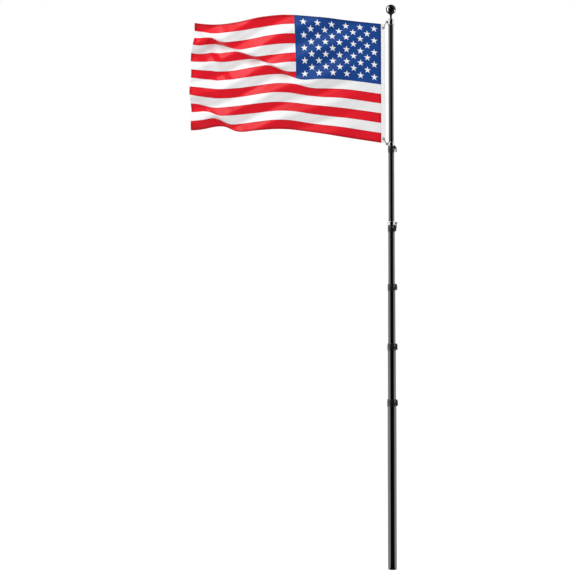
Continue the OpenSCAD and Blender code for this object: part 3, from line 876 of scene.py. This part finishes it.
class FLAGPOLE_OT_clamps(Operator):
    """Finish the clamps and add the grip ribs of their levers"""
    bl_idname = "flagpole.clamps"
    bl_label = "Clamps"

    def execute(self, context):
        pole = context.scene.flagpole_pole
        collar_black = moulded_black("Collar black", pole.moulding_colour, gloss=1.7, shine=0.6, roughness=0.2)
        dress(collar_black, *clamp_nodes("collar"))
        lever_black = moulded_black("Lever black", pole.lever_colour, gloss=1.5, shine=0.3, roughness=0.4)
        dress(lever_black, *clamp_nodes("lever"))
        steel = plated("Pin steel", pole.steel_colour, roughness=0.28, fineness=(900.0, 900.0, 60.0))
        dress(steel, *clamp_nodes("pin"))
        tree = rib_tree(lever_black)
        hinges = {joint["name"]: joint for joint in frame["joints"]}
        for k in CLAMPS:
            hinge = hinges[f"lever_{k}_flip"]
            ribs = made_mesh(
                bpy.data.meshes.new("Rib base"), tree, Count=pole.rib_count, Spacing=pole.rib_spacing,
                Radius=pole.rib_radius, Width=pole.rib_width)
            turn = math.atan2(hinge["axis"][0], -hinge["axis"][1])
            start = Matrix.Translation((LEVER_FACE - pole.rib_radius * RIB_SINK, 0.0, -LEVER_RIB_DROP))
            ribs.transform(Matrix.Translation(hinge["pos_m"]) @ Matrix.Rotation(turn, 4, "Z") @ start)
            add_piece(f"clamp_{k}_lever_ribs", ribs, f"lever_{k}")
        return {"FINISHED"}


class FLAGPOLE_OT_fittings(Operator):
    """Finish the rings, clips, grommets, washer and finial"""
    bl_idname = "flagpole.fittings"
    bl_label = "Rings, Clips and Finial"

    def execute(self, context):
        pole = context.scene.flagpole_pole
        bright = plated("Ring plating", pole.ring_colour, roughness=0.09, fineness=(30.0, 30.0, 1500.0))
        dress(bright, "top_swivel", "lower_flag_ring", "spare_ring", "top_washer")
        steel = plated("Clip steel", pole.steel_colour, roughness=0.24, fineness=(500.0, 500.0, 500.0))
        dress(steel, "top_clip", "lower_clip", "spare_clip")
        brass = plated("Grommet brass", pole.brass_colour, roughness=0.3, fineness=(700.0, 40.0, 700.0))
        dress(brass, *GROMMETS)
        polish = gloss_black("Finial black", pole.ball_colour, gloss=1.46, shine=0.3, roughness=0.05, streak=0.1)
        dress(polish, "finial_ball")
        dull = moulded_black("Neck black", pole.lever_colour, gloss=1.45, shine=0.1, roughness=0.5)
        dress(dull, "finial_neck")
        return {"FINISHED"}


class FLAGPOLE_OT_flag(Operator):
    """Make the flying cloth with its seams and hems"""
    bl_idname = "flagpole.flag"
    bl_label = "Flag Cloth"

    def execute(self, context):
        flag = context.scene.flagpole_flag
        us, vs = cloth_lines(flag)
        bm = bmesh.new()
        grids = {}
        flats = {}
        for side in (1, -1):
            grid = []
            for u in us:
                column = []
                for v in vs:
                    rise = flag.thickness / 2 + flag.seam_rise * seam_share(flag, u, v)
                    vertex = bm.verts.new(cloth_point(flag, u, v) + cloth_normal(flag, u, v) * (rise * side))
                    flats[vertex] = (u, v)
                    column.append(vertex)
                grid.append(column)
            grids[side] = grid
        for side, grid in grids.items():
            for i in range(len(us) - 1):
                for j in range(len(vs) - 1):
                    corners = [grid[i][j], grid[i][j + 1], grid[i + 1][j + 1], grid[i + 1][j]]
                    bm.faces.new(corners if side == 1 else corners[::-1])
        self.close_rim(bm, grids[1], grids[-1])
        flat_map = bm.loops.layers.uv.new("Flat")
        for face in bm.faces:
            face.smooth = True
            for loop in face.loops:
                loop[flat_map].uv = flats[loop.vert]
        bmesh.ops.recalc_face_normals(bm, faces=bm.faces)
        mesh = mesh_from(bm, "flag_cloth_sewn")
        mesh.materials.append(flag_cloth_material(flag))
        cloth = add_piece("flag_cloth_sewn", mesh, "flag")
        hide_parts("flag_cloth")
        return {"FINISHED"}

    @staticmethod
    def close_rim(bm, front, back):
        """Joins the two faces of the cloth along its four edges."""
        columns, rows = len(front), len(front[0])
        ring = [(i, 0) for i in range(columns)] + [(columns - 1, j) for j in range(1, rows)]
        ring += [(i, rows - 1) for i in range(columns - 2, -1, -1)] + [(0, j) for j in range(rows - 2, 0, -1)]
        for (i, j), (k, m) in zip(ring, ring[1:] + ring[:1]):
            bm.faces.new([front[i][j], front[k][m], back[k][m], back[i][j]])


class FLAGPOLE_OT_heading(Operator):
    """Make the folded canvas heading with its grommet holes"""
    bl_idname = "flagpole.heading"
    bl_label = "Canvas Heading"

    def execute(self, context):
        width = HEADING_HIGH[0] - HEADING_LOW[0]
        half = (HEADING_HIGH[1] - HEADING_LOW[1]) / 2
        mid = (HEADING_HIGH[0] + HEADING_LOW[0]) / 2
        profile = self.tape_outline(width, half)
        bm = bmesh.new()
        rings = []
        for i in range(HEADING_STEPS + 1):
            z = FLAG_BOTTOM + (FLAG_TOP - FLAG_BOTTOM) * i / HEADING_STEPS
            pucker = 1 - PUCKER_DEPTH * (0.5 + 0.5 * turns(i / PUCKER_STEPS))
            rings.append([bm.verts.new((mid + x, y * pucker, z)) for x, y in profile])
        for low, high in zip(rings, rings[1:]):
            for a, b, c, d in zip(low, low[1:] + low[:1], high[1:] + high[:1], high):
                bm.faces.new([a, b, c, d])
        bm.faces.new(rings[0][::-1])
        bm.faces.new(rings[-1])
        bmesh.ops.recalc_face_normals(bm, faces=bm.faces)
        for face in bm.faces:
            face.smooth = len(face.verts) == 4
        mesh = mesh_from(bm, "flag_heading_canvas")
        mesh.materials.append(canvas_material(context.scene.flagpole_flag))
        heading = add_piece("flag_heading_canvas", mesh, "flag")
        self.punch(heading)
        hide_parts("flag_heading")
        return {"FINISHED"}

    @staticmethod
    def tape_outline(width, half):
        """Section of the folded tape: flat faces, a round fold by the pole and a thin edge by the cloth."""
        straight = width / 2 - half
        turned = [math.pi * (i / TAPE_FOLD_STEPS - 0.5) for i in range(TAPE_FOLD_STEPS + 1)]
        rows = [straight * (1 - 2 * i / TAPE_FACE_STEPS) for i in range(1, TAPE_FACE_STEPS)]
        thin = half * TAPE_EDGE_SHARE
        points = [(straight + half * math.cos(a), half * math.sin(a)) for a in turned]
        points += [(x, half) for x in rows]
        points += [(-width / 2, thin), (-width / 2, -thin)]
        points += [(x, -half) for x in reversed(rows)]
        return points

    @staticmethod
    def punch(heading):
        """Cuts the holes that the grommets line."""
        for name in GROMMETS:
            place = [(a + b) / 2 for a, b in zip(*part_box(name))]
            bm = bmesh.new()
            bmesh.ops.create_cone(
                bm, cap_ends=True, segments=PUNCH_SIDES, radius1=GROMMET_HOLE, radius2=GROMMET_HOLE, depth=PUNCH_DEPTH,
                matrix=Matrix.Translation(place) @ Matrix.Rotation(math.pi / 2, 4, "X"))
            cutter = add_object("Punch", mesh_from(bm, "Punch"))
            cut = heading.modifiers.new("Punch", "BOOLEAN")
            cut.object = cutter
            cut.operation = "DIFFERENCE"
            heading.data = evaluated_mesh(heading)
            bpy.data.objects.remove(cutter)


class FLAGPOLE_OT_stitches(Operator):
    """Sew the heading, the hems and the seams, each in the colour of its cloth"""
    bl_idname = "flagpole.stitches"
    bl_label = "Stitching"

    def execute(self, context):
        flag = context.scene.flagpole_flag
        tree = stitch_tree()
        rows = {"red": [], "white": self.heading_rows(), "blue": []}
        for colour, places in self.hem_places(flag) + self.seam_places(flag):
            rows[colour] += self.on_both_faces(flag, places)
        for colour, lines in rows.items():
            mesh = made_mesh(
                self.line_mesh(lines), tree, Pitch=flag.stitch_pitch, Length=flag.stitch_length,
                Thickness=flag.stitch_thickness,
                Thread=thread_material(f"Thread {colour}", getattr(flag, colour)))
            add_piece(f"flag_stitching_{colour}", mesh, "flag")
        return {"FINISHED"}

    @staticmethod
    def line_mesh(lines):
        mesh = bpy.data.meshes.new("Stitch lines")
        points = []
        edges = []
        for line in lines:
            edges += [(len(points) + i, len(points) + i + 1) for i in range(len(line) - 1)]
            points += line
        mesh.from_pydata(points, edges, [])
        return mesh

    @staticmethod
    def on_both_faces(flag, places):
        rise = flag.thickness / 2 + flag.seam_rise
        return [[cloth_point(flag, u, v) + cloth_normal(flag, u, v) * (rise * side) for u, v in places]
                for side in (1, -1)]

    @staticmethod
    def hem_places(flag):
        """Rows just inside the edge of each hem."""
        top = (flag.hem_width - HEM_INSET) / flag.hoist
        rows = [("blue", spread((0.0, top), (flag.canton_share, top))),
                ("red", spread((flag.canton_share, top), (1.0, top))),
                ("red", spread((0.0, 1 - top), (1.0, 1 - top)))]
        for inset in (flag.hem_width - HEM_INSET, HEM_INSET):
            u = 1 - inset / flag.reach
            rows += [(stripe_colour(k), spread((u, k / STRIPES), (u, (k + 1) / STRIPES))) for k in range(STRIPES)]
        return rows

    @staticmethod
    def seam_places(flag):
        """One row along each seam, on the side of the upper stripe or of the blue field."""
        off = flag.seam_width / 4
        end = 1 - flag.hem_width / flag.reach
        side = flag.canton_share - off / flag.reach
        foot = CANTON_HIGH - off / flag.hoist
        rows = [("blue", spread((side, 0.0), (side, CANTON_HIGH))), ("blue", spread((0.0, foot), (side, foot)))]
        for k in range(1, STRIPES):
            v = k / STRIPES - off / flag.hoist
            start = flag.canton_share if k <= CANTON_STRIPES else 0.0
            rows.append((stripe_colour(k - 1), spread((start, v), (end, v))))
        return rows

    @staticmethod
    def heading_rows():
        """Two rows down the heading, beside the cloth, on both faces."""
        lines = []
        for inset in HEADING_INSETS:
            x = HEADING_LOW[0] + inset
            for y in (HEADING_LOW[1], HEADING_HIGH[1]):
                lines.append([Vector((x, y, FLAG_BOTTOM)), Vector((x, y, FLAG_TOP))])
        return lines


class FLAGPOLE_OT_stage(Operator):
    """Set the camera, the studio lights, the floor and the white surround"""
    bl_idname = "flagpole.stage"
    bl_label = "Studio"

    def execute(self, context):
        stage = context.scene.flagpole_stage
        context.scene.view_settings.view_transform = "Standard"
        self.place_camera(context.scene, stage)
        self.surround(context.scene)
        self.lay_floor()
        self.hang_light(*KEY_STRIP)
        for softbox in SOFTBOXES:
            self.hang_light(*softbox).visible_glossy = False
        ball_only = bpy.data.collections.new("Lit by the ball cards")
        ball_only.objects.link(frame["nodes"]["finial_ball"])
        for ball_card in BALL_CARDS:
            card = self.hang_light(*ball_card)
            card.visible_camera = False
            card.visible_diffuse = False
            card.light_linking.receiver_collection = ball_only
        return {"FINISHED"}

    @staticmethod
    def place_camera(scene, stage):
        """Sets the camera level, so that the pole's foot and the ball's top land on their pixels."""
        middle = stage.image_size / 2
        head_z = CAD_BOX[1][2]
        foot_off = stage.foot_pixel[0] - middle
        head_off = stage.head_pixel[0] - middle
        aim_x = -(foot_off + head_off) / 2 * stage.pixel_size
        aim_z = (middle - stage.head_pixel[1]) * -stage.pixel_size + head_z
        data = bpy.data.cameras.new("Camera")
        data.sensor_width = 36.0
        data.lens = data.sensor_width * stage.camera_distance / (stage.image_size * stage.pixel_size)
        camera = add_object("Camera", data)
        place = Vector((aim_x, -stage.camera_distance, aim_z))
        roll = math.atan2(foot_off - head_off, stage.foot_pixel[1] - stage.head_pixel[1])
        level = Matrix.Rotation(math.pi / 2, 4, "X")
        camera.matrix_world = Matrix.Translation(place) @ level @ Matrix.Rotation(-roll, 4, "Z")
        scene.camera = camera

    @staticmethod
    def surround(scene):
        """White to the camera. Gloss mirrors its white sides and its dark front and back, and the fill is even."""
        world = bpy.data.worlds.new("Studio")
        wiring = bare_wiring(world)
        path = wiring.add("ShaderNodeLightPath").outputs
        room = bright_side(wiring, wiring.add("ShaderNodeTexCoord").outputs["Generated"])
        seen = wiring.most(path["Is Camera Ray"], path["Is Transmission Ray"])
        mirrored = wiring.times(path["Is Glossy Ray"], room)
        even = wiring.times(path["Is Diffuse Ray"], FILL_LEVEL)
        level = wiring.most(wiring.most(seen, mirrored), even)
        sky = wiring.add("ShaderNodeBackground", {"Color": WHITE, "Strength": level})
        wiring.add("ShaderNodeOutputWorld", {"Surface": sky.outputs[0]})
        scene.world = world

    @staticmethod
    def lay_floor():
        """Pale floor that reads white to the camera and still takes a faint shadow."""
        bm = bmesh.new()
        bmesh.ops.create_circle(bm, cap_ends=True, segments=FLOOR_SIDES, radius=FLOOR_RADIUS)
        mesh = mesh_from(bm, "Floor")
        material = bpy.data.materials.new("Floor white")
        wiring = bare_wiring(material)
        path = wiring.add("ShaderNodeLightPath").outputs
        matt = wiring.add("ShaderNodeBsdfDiffuse", {"Color": rgba([FLOOR_GREY] * 3)})
        room = bright_side(wiring, placed(wiring))
        level = wiring.times(wiring.most(room, path["Is Camera Ray"]), FLOOR_GLOW)
        glow = wiring.add("ShaderNodeEmission", {"Color": WHITE, "Strength": level})
        seen = wiring.times(wiring.most(path["Is Camera Ray"], path["Is Transmission Ray"]), FLOOR_GLOW_SHARE)
        share = wiring.most(seen, path["Is Glossy Ray"])
        mixed = wiring.add("ShaderNodeMixShader", {0: share, 1: matt.outputs[0], 2: glow.outputs[0]})
        wiring.add("ShaderNodeOutputMaterial", {"Surface": mixed.outputs[0]})
        mesh.materials.append(material)
        add_object("Floor", mesh)

    @staticmethod
    def hang_light(name, place, aim, width, height, power):
        data = bpy.data.lights.new(name, "AREA")
        data.shape = "RECTANGLE"
        data.size = width
        data.size_y = height
        data.energy = power
        light = add_object(name, data)
        light.location = place
        light.rotation_euler = (Vector(aim) - Vector(place)).to_track_quat("-Z", "Y").to_euler()
        return light


class FLAGPOLE_PT_sidebar(Panel):
    bl_idname = "FLAGPOLE_PT_sidebar"
    bl_label = "Flagpole"
    bl_space_type = "VIEW_3D"
    bl_region_type = "UI"
    bl_category = "Flagpole"

    def draw(self, context):
        for step in STEPS:
            self.layout.operator(step.bl_idname)
        for owner in ("flagpole_pole", "flagpole_flag", "flagpole_stage"):
            settings = getattr(context.scene, owner)
            box = self.layout.box()
            for name in settings.bl_rna.properties.keys():
                if name not in ("rna_type", "name"):
                    box.prop(settings, name)


SETTINGS = {"flagpole_pole": PoleSettings, "flagpole_flag": FlagSettings, "flagpole_stage": StageSettings}
STEPS = (
    FLAGPOLE_OT_stage,
    FLAGPOLE_OT_tubes,
    FLAGPOLE_OT_clamps,
    FLAGPOLE_OT_fittings,
    FLAGPOLE_OT_flag,
    FLAGPOLE_OT_heading,
    FLAGPOLE_OT_stitches,
)


def register():
    for kind in (*SETTINGS.values(), *STEPS, FLAGPOLE_PT_sidebar):
        bpy.utils.register_class(kind)
    for name, kind in SETTINGS.items():
        setattr(bpy.types.Scene, name, PointerProperty(type=kind))


def unregister():
    for name in SETTINGS:
        delattr(bpy.types.Scene, name)
    for kind in (FLAGPOLE_PT_sidebar, *reversed(STEPS), *SETTINGS.values()):
        bpy.utils.unregister_class(kind)


def main():
    register()
    for step in STEPS:
        group_name, name = step.bl_idname.split(".")
        getattr(getattr(bpy.ops, group_name), name)()


if __name__ == "__main__":
    main()
